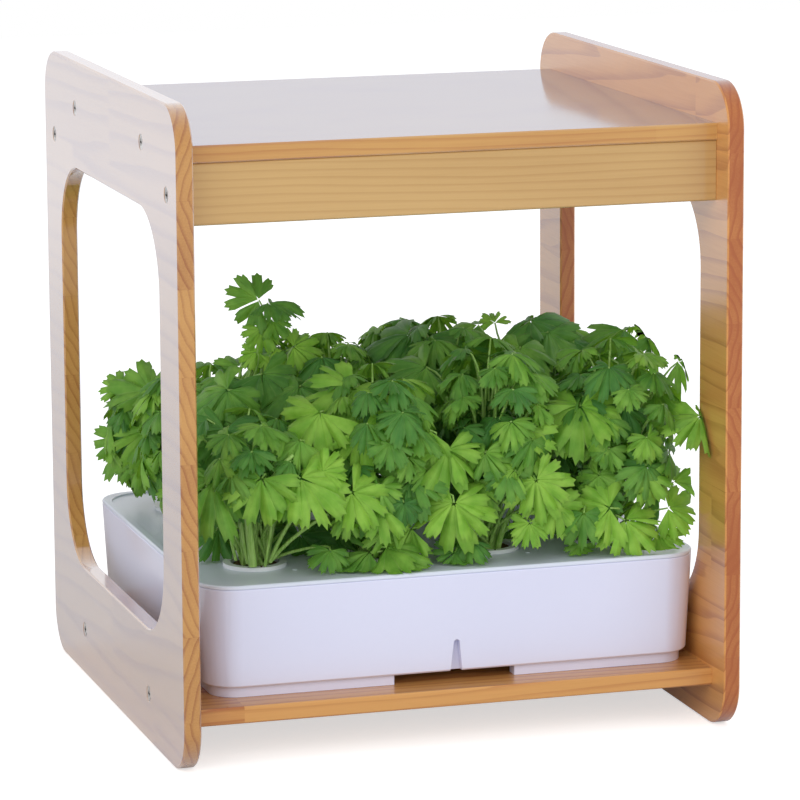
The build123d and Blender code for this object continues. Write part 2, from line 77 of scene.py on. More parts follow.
# %% Camera
photo_side = 800
lens_pixels = 4361.64
lens_middle = (406.05, 386.87)
camera_place = Vector((-0.77847, -2.60758, 0.70181))
camera_yaw = math.radians(16.946)
camera_pitch = math.radians(-10.551)
camera_roll = math.radians(-0.329)

ahead = Vector((math.sin(camera_yaw) * math.cos(camera_pitch),
                math.cos(camera_yaw) * math.cos(camera_pitch), math.sin(camera_pitch)))
level = Vector((math.cos(camera_yaw), -math.sin(camera_yaw), 0))
upright = level.cross(ahead)
camera_right = level * math.cos(camera_roll) + upright * math.sin(camera_roll)
camera_up = upright * math.cos(camera_roll) - level * math.sin(camera_roll)

camera_data = bpy.data.cameras.new("camera")
camera_data.sensor_width = 36
camera_data.lens = lens_pixels / photo_side * camera_data.sensor_width
camera_data.shift_x = (photo_side / 2 - lens_middle[0]) / photo_side
camera_data.shift_y = (lens_middle[1] - photo_side / 2) / photo_side
camera_data.clip_end = 50
camera = bpy.data.objects.new("camera", camera_data)
camera.matrix_world = Matrix.Translation(camera_place) @ Matrix(
    (camera_right, camera_up, -ahead)).transposed().to_4x4()
bpy.context.scene.collection.objects.link(camera)
bpy.context.scene.camera = camera
print("camera lens", round(camera_data.lens, 1), "mm")


# %% [markdown]
# A leaf of the photograph is placed by its pixel and by how far back it hangs, so one
# helper follows the sight line through a pixel to a given depth of the planter.

# %% From a pixel to a place
def seen_at(pixel_x, pixel_y, depth):
    """Place on the sight line of this pixel at this y, in metres."""
    line = (ahead * lens_pixels + camera_right * (pixel_x - lens_middle[0])
            - camera_up * (pixel_y - lens_middle[1]))
    return camera_place + line * ((depth - camera_place.y) / line.y)


def pixel_of(place):
    """Pixel at which this place is seen."""
    line = place - camera_place
    scale = lens_pixels / line.dot(ahead)
    return lens_middle[0] + line.dot(camera_right) * scale, lens_middle[1] - line.dot(camera_up) * scale


print("tip of the tall sprig", seen_at(245, 277, 9 * MM))


# %% [markdown]
# ## Writing materials as sums
# A finish is a net of small nodes. To keep it readable, a socket is wrapped so that
# `1 - grain * 0.3` adds the Math nodes by itself, and every other node comes from one
# method that takes its type, its settings and what feeds its sockets.

# %% Sockets that can be added and multiplied
class Field:
    """A shader socket that changes over the surface and can be used in sums."""

    def __init__(self, net, socket):
        self.net = net
        self.socket = socket

    def join(self, operation, first, second):
        return self.net.node("Math", {"operation": operation}, {0: first, 1: second})

    def __add__(self, other):
        return self.join("ADD", self, other)

    def __radd__(self, other):
        return self.join("ADD", other, self)

    def __sub__(self, other):
        return self.join("SUBTRACT", self, other)

    def __rsub__(self, other):
        return self.join("SUBTRACT", other, self)

    def __mul__(self, other):
        return self.join("MULTIPLY", self, other)

    def __rmul__(self, other):
        return self.join("MULTIPLY", other, self)

    def __truediv__(self, other):
        return self.join("DIVIDE", self, other)

    def __pow__(self, other):
        return self.join("POWER", self, other)


print("sums of sockets are ready")


# %% [markdown]
# ### A net of nodes
# Materials and the world are both nets of nodes, so both share these helpers: one makes
# any node, and three more make the nodes that are used most, for a mix of two colours, a
# soft step and noise.

# %% A net of nodes
class Net:
    """The nodes of a material or of the world."""

    def __init__(self, tree):
        self.tree = tree

    def feed(self, socket, value):
        if isinstance(value, Field):
            self.tree.links.new(value.socket, socket)
        else:
            socket.default_value = value

    def node(self, kind, settings=None, sockets=None, output=0):
        made = self.tree.nodes.new("ShaderNode" + kind)
        for name, value in (settings or {}).items():
            setattr(made, name, value)
        for name, value in (sockets or {}).items():
            self.feed(made.inputs[name], value)
        return Field(self, made.outputs[output])

    def mix(self, share, first, second):
        """One colour fading into another."""
        return self.node("Mix", {"data_type": "RGBA"}, {0: share, 6: first, 7: second}, 2)

    def fade(self, value, low, high):
        """0 below low, 1 above high and a smooth change between them."""
        return self.node("MapRange", {"interpolation_type": "SMOOTHSTEP"},
                         {"Value": value, "From Min": low, "From Max": high})

    def noise(self, place, scale, detail=2.0, roughness=0.5):
        return self.node("TexNoise", {}, {"Vector": place, "Scale": scale, "Detail": detail,
                                          "Roughness": roughness})


print("nets of nodes are ready")


# %% [markdown]
# ### A finish
# A finish is a net around the Principled shader. What is the same all over a surface is
# set on the shader's own sockets, and only colour, roughness and relief change from
# place to place. A second shader can cover the first, as varnish covers wood.

# %% A finish on one surface shader
class Finish(Net):
    """A procedural material with one main surface shader."""

    def __init__(self, name, **fixed):
        self.material = bpy.data.materials.new(name)
        self.material.use_nodes = True
        super().__init__(self.material.node_tree)
        self.shader = self.tree.nodes["Principled BSDF"]
        self.fix(**fixed)

    def fix(self, **values):
        for name, value in values.items():
            self.feed(self.shader.inputs[name.replace("_", " ").title().replace("Ior", "IOR")], value)

    def place(self):
        """Object coordinates, which are metres in the planter's own frame."""
        return self.node("TexCoord", output=3)

    def stretched(self, place, scale):
        """Coordinates that run faster or slower along each axis, which draws noise out."""
        return self.node("Mapping", {}, {"Vector": place, "Scale": scale})

    def bump(self, height, distance, strength=1.0):
        """Surface relief: height from 0 to 1 over this distance in metres."""
        self.fix(normal=self.node("Bump", {}, {"Height": height, "Distance": distance,
                                               "Strength": strength}))

    def cover(self, share, layer):
        """Let this share of the light meet another shader instead of the main one."""
        both = self.node("MixShader", {}, {0: share, 1: Field(self, self.shader.outputs[0]), 2: layer})
        self.feed(self.tree.nodes["Material Output"].inputs["Surface"], both)


def paint(red, green, blue):
    """A colour as it is picked on a screen, 0 to 255, turned to the linear values of shaders."""
    def linear(value):
        share = value / 255
        return share / 12.92 if share <= 0.04045 else ((share + 0.055) / 1.055) ** 2.4
    return (linear(red), linear(green), linear(blue), 1.0)


print("white paint", paint(255, 255, 255))


# %% [markdown]
# ## Varnished pine
# Furniture pine is glued up from staves. In each stave the growth rings are circles
# around a heart that lies outside the board: cut lengthwise they show as streaks and
# arches, and on the board's end as slanting lines. So the pattern is worked out from the
# distance to that heart, with a new heart for each stave, and bent a little by noise.
# Early wood is pale and changes slowly to the dark line of late wood, then jumps back.
# The staves are finger-jointed from shorter laths, so the tone steps along them too.
# Sawn edges show paler lines. On the right panel the sawn edges are drawn darker, which is painted
# shade.

# %% Coordinates, chance and streaks for wood
class Timber(Finish):
    """A finish with what sawn timber needs besides."""

    def one(self, operation, value, second=0.0):
        return self.node("Math", {"operation": operation}, {0: value, 1: second})

    def axis(self, place, letter):
        """One of the three numbers of a place or a direction."""
        split = self.node("SeparateXYZ", {}, {0: place}).socket.node
        return Field(self, split.outputs["XYZ".index(letter)])

    def chance(self, value):
        """A random number from 0 to 1 that is the same wherever the value is."""
        return self.node("TexWhiteNoise", {"noise_dimensions": "1D"}, {"W": value})

    def streak(self, along, across, through, detail, roughness=0.5):
        """Noise with its own scale along the grain, across it and into the board."""
        place = self.node("CombineXYZ", {}, {0: along, 1: across, 2: through})
        return self.noise(place, 1.0, detail, roughness)


print("timber helpers are ready")


# %% [markdown]
# ### One recipe for every board
# The thick varnish mirrors little when it is looked at straight on, and very much when
# the eye is low over it. Layer Weight gives that share to a glossy shader: a high gloss
# number keeps the mirror for the lowest angles, shine is its colour and polish its
# roughness. Each kind of board gets its own numbers, because in the photograph each
# shows another tone and another amount of the white studio. The right panel's colours
# are brighter than the others' as painted light, since its inner face gets little lamp light.

# %% Pine
varnish_least = 0.03
edge_line_loss = 0.35
seam_half = 0.4 * MM
seam_dark = 0.3
fibre_height = 0.08 * MM


def pine(name, order, stave, pale, dark, ring=5.2 * MM, contrast=1.0, seed=0.0, heart=36 * MM,
         gloss=2.0, shine=(0.95, 0.95, 1.0, 1), polish=0.1, edge_shade=0.0, lath=310 * MM):
    """Pine whose grain runs along the first axis of order, with staves along the second."""
    wood = Timber(name, specular_ior_level=0.3)
    place = wood.place()
    along, across, through = (wood.axis(place, letter) for letter in order)

    # Each stave has a number, each lath in it too, and their luck follows from these.
    number = wood.one("FLOOR", across / stave + seed)
    luck = wood.chance(number + seed * 7.3)
    luck_2 = wood.chance(number * 3.1 + seed + 40)
    piece = wood.one("FLOOR", along / lath + luck * 5)
    tone = wood.chance(number * 5.7 + piece * 3.3 + seed)

    # Growth rings around a heart that lies beside and below the stave.
    inside = across - (number - seed) * stave
    sway = wood.streak(along * 4 + luck * 9, across * 30, through * 30, 2.0) - 0.5
    side = inside - stave / 2 + wood.one("SIGN", luck - 0.5) * (luck_2 * 0.8 + 0.9) * stave
    depth = through + heart * (luck * 0.5 + 0.8) + along * (luck_2 - 0.5) * 0.1 + sway * 0.012
    reach = (side * side + depth * depth) ** 0.5
    rings = wood.one("FRACT", reach / ring + sway * 0.7 + tone * 3)
    line = wood.fade(rings, 0.5, 0.93) * (1 - wood.fade(rings, 0.95, 1.0))
    edge = 1 - wood.one("ABSOLUTE", wood.axis(wood.node("NewGeometry", {}, {}, 1), order[2]))
    line = line * (1 - edge * edge_line_loss)

    # Fine fibres, soft clouds, the tone of the lath and the glued seam between staves.
    fibre = wood.streak(along * 22, across * 900, through * 900, 3.0, 0.65)
    cloud = wood.streak(along * 5 + luck * 20, across * 24, through * 24, 2.0)
    share = line * (0.42 * contrast) + (fibre - 0.5) * (0.4 * contrast)
    # Where an edge share is set, the sawn edges are drawn darker: painted shade.
    share = share + (cloud - 0.5) * 0.45 + (tone - 0.5) * (0.26 * contrast) + 0.24 + edge * edge_shade
    seam = 1 - wood.fade(wood.one("ABSOLUTE", inside - stave), 0.0, seam_half)
    share = wood.fade(share, 0.0, 1.0) * (1 - seam * seam_dark) + seam * seam_dark
    wood.fix(base_color=wood.mix(share, pale, dark), roughness=0.36 + fibre * 0.16)
    wood.bump(fibre * 0.35 + line * 0.3, fibre_height, 0.4)

    # The varnish.
    facing = wood.node("LayerWeight", {}, {"Blend": 0.5}, 1)
    mirror = wood.node("BsdfAnisotropic", {}, {"Color": shine, "Roughness": polish})
    wood.cover(facing ** gloss * (1 - varnish_least) + varnish_least, mirror)
    return wood.material


left_pine = pine("left_pine", "YZX", 52 * MM, paint(203, 151, 84), paint(146, 82, 38), contrast=1.0,
                 seed=0.35, heart=12 * MM, gloss=1.75)
# The right panel's brighter colours are painted light, and its darker edges are painted shade.
right_pine_painted_light = pine("right_pine_painted_light", "YZX", 52 * MM, paint(236, 170, 92), paint(166, 88, 40), contrast=0.7,
                  seed=3.1, heart=16 * MM, gloss=3.2, shine=(0.84, 0.86, 0.92, 1), polish=0.24,
                  edge_shade=0.55)
board_pine = pine("board_pine", "XYZ", 46 * MM, paint(206, 157, 88), paint(166, 96, 46), contrast=0.8,
                  seed=0.62, gloss=1.8, shine=(0.72, 0.74, 0.82, 1))
shelf_pine = pine("shelf_pine", "XYZ", 46 * MM, paint(214, 156, 88), paint(166, 92, 44), contrast=1.0,
                  seed=1.4, gloss=5.0, polish=0.2, shine=(0.8, 0.8, 0.85, 1))
rail_pine = pine("rail_pine", "XZY", 90 * MM, paint(205, 167, 106), paint(168, 122, 62),
                 ring=3.6 * MM, contrast=0.4, seed=0.5, heart=50 * MM, lath=2.0)
print("pine finishes:", left_pine.name, right_pine_painted_light.name, board_pine.name, shelf_pine.name,
      rail_pine.name)

# %% [markdown]
# ## Moulded plastics
# The tank, the lid and the cups are injection-moulded. The mould leaves an even satin
# skin with a very faint orange peel and soft clouds where the plastic shrank, so the
# colour hardly changes but the highlight breaks up a little.


# %% Plastics
def plastic(name, colour, shade, rough, peel=0.01 * MM, peel_scale=900.0, coat=0.0):
    """Moulded plastic: soft clouds in the colour and the skin of the mould."""
    skin = Finish(name, specular_ior_level=0.5, coat_weight=coat, coat_roughness=0.12)
    place = skin.place()
    cloud = skin.noise(place, 9.0, 2.0)
    dust = skin.noise(place, 260.0, 2.0)
    share = skin.fade(cloud * 0.8 + dust * 0.2, 0.25, 0.75)
    skin.fix(base_color=skin.mix(share, colour, shade))
    skin.fix(roughness=rough + (dust - 0.5) * 0.05)
    skin.bump(skin.noise(place, peel_scale, 1.0), peel, 0.4)
    return skin.material


tank_plastic = plastic("tank_plastic", paint(225, 227, 249), paint(222, 224, 247), rough=0.3, coat=0.5)
lid_plastic = plastic("lid_plastic", paint(222, 228, 243), paint(218, 225, 240), rough=0.3)
cup_plastic = plastic("cup_plastic", paint(240, 242, 247), paint(234, 237, 242), rough=0.3)
box_plastic = plastic("box_plastic", paint(226, 226, 226), paint(212, 213, 214), rough=0.45,
                      peel=0.08 * MM, peel_scale=1500.0)
button_plastic = plastic("button_plastic", paint(224, 226, 229), paint(206, 209, 213), rough=0.3)
socket_plastic = plastic("socket_plastic", paint(30, 30, 31), paint(20, 20, 21), rough=0.35,
                         peel=0.08 * MM, peel_scale=1200.0)
diffuser_plastic = plastic("diffuser_plastic", paint(238, 240, 242), paint(228, 231, 234), rough=0.55)
print("plastic finishes made")

# %% [markdown]
# ## Metals and boards
# The screws are zinc-plated steel with fine turning marks around them. The lamp's
# tray is brushed sheet, so its scratches all run one way, which stretched noise gives.


# %% Metals
def metal(name, colour, shade, rough, streak):
    """Plated or brushed metal, whose streaks run along the axes with the lowest numbers."""
    sheet = Finish(name, metallic=1.0)
    place = sheet.place()
    streaks = sheet.noise(sheet.stretched(place, streak), 1.0, 3.0)
    spots = sheet.noise(place, 420.0, 2.0)
    sheet.fix(base_color=sheet.mix(sheet.fade(streaks * 0.6 + spots * 0.4, 0.3, 0.7), colour, shade))
    sheet.fix(roughness=rough + (streaks - 0.5) * 0.25)
    sheet.bump(streaks, 0.03 * MM, 0.5)
    return sheet.material


screw_metal = metal("screw_metal", paint(226, 224, 223), paint(190, 188, 188), 0.34, (700.0, 90.0, 90.0))
lamp_metal = metal("lamp_metal", paint(226, 227, 229), paint(196, 198, 201), 0.38, (3.0, 900.0, 900.0))
ring_metal = metal("ring_metal", paint(222, 222, 224), paint(190, 190, 194), 0.14, (90.0, 400.0, 90.0))
print("metal finishes made")


# %% [markdown]
# ### Circuit boards and lamp chips
# These sit inside the lamp and its control box, so they show only when the planter is
# taken apart. Brick texture, with its rows shifted, gives the paths of copper under the
# lacquer, and the chips' yellow phosphor is a little uneven.

# %% Circuit boards and lamp chips
def board(name, colour, shade, track, pitch):
    """Lacquered circuit board with lines of copper just under the lacquer."""
    sheet = Finish(name, roughness=0.35, coat_weight=0.3)
    place = sheet.place()
    cells = sheet.node("TexBrick", {"offset": 0.35, "squash": 1.6, "squash_frequency": 3},
                       {"Vector": place, "Color1": (0, 0, 0, 1), "Color2": (0.25, 0.25, 0.25, 1),
                        "Mortar": (1, 1, 1, 1), "Scale": 1.0, "Mortar Size": 0.6 * MM,
                        "Brick Width": pitch, "Row Height": pitch / 2}, 0)
    tone = sheet.noise(place, 60.0, 2.0)
    plain = sheet.mix(sheet.fade(tone, 0.3, 0.7), colour, shade)
    sheet.fix(base_color=sheet.mix(sheet.node("RGBToBW", {}, {0: cells}), plain, track))
    return sheet.material


timer_board_skin = board("timer_board_skin", paint(22, 92, 52), paint(18, 78, 46),
                         paint(58, 124, 76), 11 * MM)
led_board_skin = board("led_board_skin", paint(232, 233, 233), paint(222, 224, 225),
                       paint(206, 200, 182), 30 * MM)

led_skin = Finish("led_skin", roughness=0.22, coat_weight=0.6)
led_tone = led_skin.noise(led_skin.place(), 900.0, 2.0)
led_skin.fix(base_color=led_skin.mix(led_skin.fade(led_tone, 0.3, 0.7), paint(248, 224, 118),
                                     paint(236, 200, 82)))
print("board finishes made")

# %% [markdown]
# ## Leaves and stems
# A parsley leaf's tint runs from deep green to bright: partly its own colour and partly painted light,
# with lit leaves bright and shaded ones inside the plant deep green.
# Every point of a leaflet carries three numbers: its tint, its fan share from one edge
# of the fan to the other, and its rise from the stalk to the rim. Veins are then simply
# lines of one fan share. Light also comes through a leaf, which the second shader does.

# %% Leaf and stem
leaf_skin = Finish("leaf_skin", roughness=0.42, specular_ior_level=0.35)
fan = leaf_skin.node("Attribute", {"attribute_name": "fan"}, {}, 2)
rise = leaf_skin.node("Attribute", {"attribute_name": "rise"}, {}, 2)
tint_and_light = leaf_skin.node("Attribute", {"attribute_name": "tint_and_light"}, {}, 2)
wobble = (leaf_skin.noise(leaf_skin.place(), 180.0, 2.0) - 0.5) * 0.35


def vein(count, width):
    """Thin lines that fan out from the stalk."""
    wave = leaf_skin.node("Math", {"operation": "PINGPONG"}, {0: fan * count + wobble * 0.5, 1: 0.5})
    return 1 - leaf_skin.fade(wave, 0.0, width)


veins = vein(3.0, 0.09) * 0.7 + vein(9.0, 0.16) * 0.35 * leaf_skin.fade(rise, 0.25, 0.6)
mottle = leaf_skin.noise(leaf_skin.place(), 95.0, 3.0)
# The deep and the fresh green are the leaf's own colours, and they also serve as painted shade and
# painted light.
deep = leaf_skin.mix(leaf_skin.fade(mottle, 0.3, 0.7), paint(64, 122, 56), paint(84, 142, 66))
fresh_and_lit = leaf_skin.mix(leaf_skin.fade(mottle, 0.3, 0.7), paint(133, 191, 61), paint(164, 213, 85))
green = leaf_skin.mix(leaf_skin.fade(tint_and_light + (mottle - 0.5) * 0.25, 0.0, 1.0), deep, fresh_and_lit)
rim = leaf_skin.fade(rise, 0.82, 1.0) * 0.25
green = leaf_skin.mix(rim, green, paint(70, 92, 40))
leaf_skin.fix(base_color=leaf_skin.mix(veins * 0.26, green, paint(166, 200, 110)))
leaf_skin.fix(roughness=0.36 + mottle * 0.16)
leaf_skin.bump(mottle * 0.6 - veins * 0.5, 0.6 * MM, 0.7)

light_through = 0.28
leaf_skin.cover(light_through, leaf_skin.node("BsdfTranslucent", {}, {"Color": paint(138, 190, 40)}))
print("leaf finish made")

# %% [markdown]
# ### Stems and foam
# A stem has fine ribs along it, so its noise is drawn out upwards. The plugs are dark
# open foam: a Voronoi pattern gives the cells, and crumbs of noise lie between them.

# %% Stem and foam
stem_skin = Finish("stem_skin", roughness=0.35, specular_ior_level=0.5)
ribs = stem_skin.noise(stem_skin.stretched(stem_skin.place(), (900.0, 900.0, 40.0)), 1.0, 2.0)
stem_skin.fix(base_color=stem_skin.mix(stem_skin.fade(ribs, 0.3, 0.7), paint(126, 172, 70),
                                       paint(164, 200, 112)))
stem_skin.bump(ribs, 0.2 * MM, 0.6)

foam_skin = Finish("foam_skin", roughness=0.95, specular_ior_level=0.1)
cells = foam_skin.node("TexVoronoi", {"feature": "F1"}, {"Vector": foam_skin.place(), "Scale": 900.0})
crumb = foam_skin.noise(foam_skin.place(), 300.0, 3.0)
foam_skin.fix(base_color=foam_skin.mix(foam_skin.fade(cells * 0.9 + crumb * 0.4, 0.25, 0.8),
                                       paint(66, 50, 34), paint(104, 82, 58)))
foam_skin.bump(cells, 0.8 * MM)
print("stem and foam finishes made")


# %% [markdown]
# ## Rounding the rigid parts
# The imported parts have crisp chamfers. Real edges are a little round and catch a thin
# line of light. A copy of a part is merged, its flat faces are joined again, and its
# sharp edges get a tiny round bevel. Weighted normals keep the large faces flat.

# %% Rounded copies
merge_gap = 0.005 * MM
flat_turn = math.radians(0.6)
sharp_turn = math.radians(28)
shading_turn = math.radians(36)


def place_piece(name, shape, skins, node):
    """Turn a bmesh into a piece with these finishes that rides on the node's body."""
    mesh = bpy.data.meshes.new(name)
    shape.to_mesh(mesh)
    shape.free()
    for skin in skins:
        mesh.materials.append(skin)
    piece = bpy.data.objects.new(name, mesh)
    bpy.context.scene.collection.objects.link(piece)
    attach(piece, frame["nodes"][node]["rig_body"])
    return piece


def rounded(node, skin, edge):
    """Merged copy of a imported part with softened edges, in its place."""
    shape = bmesh.new()
    shape.from_mesh(frame["nodes"][node].data)
    for face in shape.faces:
        face.material_index = 0
    bmesh.ops.remove_doubles(shape, verts=shape.verts, dist=merge_gap)
    bmesh.ops.dissolve_limit(shape, angle_limit=flat_turn, verts=shape.verts, edges=shape.edges)
    corners = [line for line in shape.edges
               if len(line.link_faces) == 2 and line.calc_face_angle(0) > sharp_turn]
    bmesh.ops.bevel(shape, geom=corners, offset=edge, offset_type="OFFSET", segments=2,
                    profile=0.5, affect="EDGES", clamp_overlap=True, material=-1)
    for face in shape.faces:
        face.smooth = True
    piece = place_piece(node + "_finished", shape, [skin], node)
    piece.data.set_sharp_from_angle(angle=shading_turn)
    weighted = piece.modifiers.new("flat_faces", "WEIGHTED_NORMAL")
    weighted.keep_sharp = True
    weighted.weight = 80
    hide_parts(node)
    return piece


wooden = {"left_panel": left_pine, "right_panel": right_pine_painted_light, "top_board": board_pine,
          "bottom_shelf": shelf_pine, "front_rail": rail_pine, "rear_rail": rail_pine}
for node, skin in wooden.items():
    print(node, len(rounded(node, skin, 0.4 * MM).data.polygons), "faces")

# %% [markdown]
# ### Moulded and pressed parts
# The plastic and metal parts get the same treatment with finer edges, because a mould
# is sharper than sanded wood. Each row gives a part's finish and its edge radius.

# %% Plastic and metal parts
moulded = {"water_tank": (tank_plastic, 0.5 * MM), "tank_lid": (lid_plastic, 0.25 * MM),
           "control_box": (box_plastic, 0.3 * MM), "power_socket": (socket_plastic, 0.1 * MM),
           "timer_button": (button_plastic, 0.15 * MM), "lamp_diffuser": (diffuser_plastic, 0.2 * MM),
           "lamp_housing": (lamp_metal, 0.2 * MM), "button_ring": (ring_metal, 0.1 * MM),
           "led_board": (led_board_skin, 0.1 * MM), "timer_board": (timer_board_skin, 0.1 * MM),
           "led_chips": (led_skin.material, 0.2 * MM), "lamp_screws": (screw_metal, 0.2 * MM)}
cup_numbers = range(1, 13)
for number in cup_numbers:
    moulded[f"net_cup_{number}"] = (cup_plastic, 0.12 * MM)
for node, (skin, edge) in moulded.items():
    print(node, len(rounded(node, skin, edge).data.polygons), "faces")

# %% [markdown]
# ## Cross recesses of the screws
# Each of the twelve countersunk screws has a cross for the screwdriver. A cutter with
# two tapered bars for every head is taken out of the screws with a Boolean. The screws
# sit at the middle height of the board that they hold, so their places come from the
# boards' boxes and from how far they sit from each board's middle.

# %% Places of the screws
screw_spread = {"top_board": 89 * MM, "front_rail": 0.0, "rear_rail": 0.0, "bottom_shelf": 87 * MM}
screw_low, screw_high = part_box("panel_screws")
screw_places = []
for side in (-1, 1):
    head = screw_low.x if side < 0 else screw_high.x
    for node, spread in screw_spread.items():
        low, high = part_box(node)
        middle = (low + high) / 2
        for away in sorted({-spread, spread}):
            screw_places.append((side, head, middle.y + away, middle.z))
print(len(screw_places), "screws")

# %% Cutter for the crosses
recess_reach = 2.6 * MM
recess_half = 0.8 * MM
recess_depth = 2.2 * MM
floor_reach_share = 0.35
floor_half_share = 0.6

cutter = bmesh.new()
for side, head, y, z in screw_places:
    for upright_bar in (False, True):
        for corner in bmesh.ops.create_cube(cutter, size=1.0)["verts"]:
            inner = corner.co.x * side < 0
            reach = recess_reach * (floor_reach_share if inner else 1.0)
            half = recess_half * (floor_half_share if inner else 1.0)
            wide, high = (half, reach) if upright_bar else (reach, half)
            corner.co.y = y + math.copysign(wide, corner.co.y)
            corner.co.z = z + math.copysign(high, corner.co.z)
            corner.co.x = head - side * recess_depth if inner else head + side * MM
bmesh.ops.recalc_face_normals(cutter, faces=cutter.faces)
for face in cutter.faces:
    face.material_index = 1
cutter_mesh = bpy.data.meshes.new("recess_cutter")
cutter.to_mesh(cutter_mesh)
cutter.free()
cutter_object = bpy.data.objects.new("recess_cutter", cutter_mesh)
bpy.context.scene.collection.objects.link(cutter_object)
print("cutter", len(cutter_mesh.polygons), "faces")

# %% [markdown]
# ### Cutting the crosses
# The cutter's faces carry a second material number, so the walls that it leaves in each
# head get their own finish: dull and dark, which is painted shade, as light hardly reaches into a real
# recess.

# %% Screw heads
screws = bmesh.new()
screws.from_mesh(frame["nodes"]["panel_screws"].data)
bmesh.ops.remove_doubles(screws, verts=screws.verts, dist=merge_gap)
for face in screws.faces:
    face.material_index = 0
    face.smooth = True
# Painted shade: the recess walls are drawn dark as if little light reaches them.
recess_painted_shade = Finish("screw_recess_painted_shade", metallic=0.6)
shadow = recess_painted_shade.noise(recess_painted_shade.place(), 3000.0, 2.0)
recess_painted_shade.fix(base_color=recess_painted_shade.mix(shadow, paint(52, 48, 46), paint(90, 84, 80)),
                roughness=0.5 + shadow * 0.2)
heads = place_piece("panel_screws_finished", screws, [screw_metal, recess_painted_shade.material],
                    "panel_screws")
cut = heads.modifiers.new("recess", "BOOLEAN")
cut.operation = "DIFFERENCE"
cut.solver = "EXACT"
cut.use_self = True
cut.object = cutter_object
settled = bpy.context.evaluated_depsgraph_get()
whole = heads.data
heads.data = bpy.data.meshes.new_from_object(heads.evaluated_get(settled))
heads.modifiers.clear()
heads.data.set_sharp_from_angle(angle=math.radians(30))
bpy.data.meshes.remove(whole)
bpy.data.objects.remove(cutter_object)
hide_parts("panel_screws")
print("screws", len(heads.data.polygons), "faces")

# %% [markdown]
# ## Foam plugs
# A dark foam plug grips the stems in every cup. It starts as a short cone, its rims are
# rounded, its middle is pressed in around the stems and its skin is roughened by noise.


# %% Foam plugs
plug_top_share = 0.96
plug_foot_share = 0.86
ring_shares = (0.28, 0.4, 0.5)
stem_dent = 2.2 * MM
foam_roughness = 0.22 * MM
skin_inset = 0.25 * MM
top_inset = 0.3 * MM
plug_rim = 1.2 * MM
longest_bevel = 4 * MM


def foam_plug(number):
    """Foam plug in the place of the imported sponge, a little inside its surface."""
    node = f"sponge_{number}"
    low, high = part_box(node)
    middle = (low + high) / 2
    top = (high.x - low.x) / 2 * plug_top_share
    foot = top * plug_foot_share
    shape = bmesh.new()
    bmesh.ops.create_cone(shape, cap_ends=True, segments=24, radius1=foot, radius2=top,
                          depth=high.z - low.z, matrix=Matrix.Translation(middle))
    caps = [face for face in shape.faces if len(face.verts) > 4]
    rims = list({line for face in caps for line in face.edges})
    bmesh.ops.bevel(shape, geom=rims, offset=plug_rim, offset_type="OFFSET", segments=3,
                    profile=0.5, affect="EDGES", material=-1)
    for share in ring_shares:
        caps = [face for face in shape.faces if len(face.verts) > 4]
        bmesh.ops.inset_region(shape, faces=caps, thickness=top * share * 0.55, depth=0)
    walls = [line for line in shape.edges
             if abs(line.verts[0].co.z - line.verts[1].co.z) > longest_bevel]
    bmesh.ops.subdivide_edges(shape, edges=walls, cuts=7)
    for corner in shape.verts:
        away = math.hypot(corner.co.x - middle.x, corner.co.y - middle.y)
        dent = max(0.0, 1 - away / (top * 0.6)) * stem_dent
        rough = (noise.noise(corner.co * 700) + 0.6 * noise.noise(corner.co * 1500)) * foam_roughness
        pull = Vector((corner.co.x - middle.x, corner.co.y - middle.y, 0))
        if away > 0:
            corner.co += pull / away * (rough - skin_inset)
        if corner.co.z > middle.z:
            corner.co.z -= dent + top_inset - rough * 0.5
    bmesh.ops.recalc_face_normals(shape, faces=shape.faces)
    for face in shape.faces:
        face.smooth = True
    piece = place_piece(f"foam_plug_{number}", shape, [foam_skin.material], node)
    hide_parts(node)


for number in cup_numbers:
    foam_plug(number)
print(len(cup_numbers), "foam plugs")

# %% [markdown]
# ## Parsley
# A leaflet is a small grid bent into a fan: three lobes with three teeth each lie side
# by side, as rim_shape says, and from the stalk to the rim it arches and hangs. Three or
# five leaflets make a leaf, and a thin tapering stalk joins it to its cup. The leaves
# that the photograph shows clearly are placed by their pixels, and seeded chance fills
# the rest of every crown.

# %% One leaflet
fan_columns = 20
fan_rows = 3
rim_shape = [0.68, 0.86, 0.81, 0.95, 0.88, 0.94, 0.76, 0.60, 0.92, 0.88, 1.0, 0.88, 0.92, 0.60, 0.76,
             0.94, 0.88, 0.95, 0.81, 0.86, 0.68]
round_share = 0.74
lobe_height = 0.045
wave_height = 0.1
droop = 0.1


def add_leaflet(shape, stand, length, spread, arch, tint_and_light_value, chance):
    """Grow one toothed leaflet along +Y of the matrix stand, arching back from its face."""
    grid = bmesh.ops.create_grid(shape, x_segments=fan_columns, y_segments=fan_rows, size=0.5)["verts"]
    layers = shape.verts.layers.float
    wave = chance.uniform(0, 6.28)
    fold = chance.uniform(-0.1, 0.25)
    skew = chance.uniform(-0.18, 0.18)
    for corner in grid:
        fan_share = corner.co.x + 0.5
        rise_share = corner.co.y + 0.5
        corner[layers["fan"]] = fan_share
        corner[layers["rise"]] = rise_share
        corner[layers["tint_and_light"]] = tint_and_light_value
        turn = (fan_share - 0.5) * spread
        edge = rim_shape[round(fan_share * fan_columns)] * (1 + skew * (fan_share - 0.5) * 2)
        reach = length * rise_share * (edge * rise_share + round_share * (1 - rise_share))
        side = math.sin(turn) * reach
        out = math.cos(turn) * reach
        lobe = math.cos(fan_share * math.pi * 6)
        up = fold * abs(side) - lobe_height * length * rise_share * lobe - arch * reach * reach / length
        up += wave_height * length * math.sin(wave + fan_share * 9) * rise_share ** 2
        place = stand @ Vector((side, out, up))
        place.z -= droop * reach * reach / length
        corner.co = place
    return grid


print("a leaflet has", fan_columns * fan_rows, "faces")

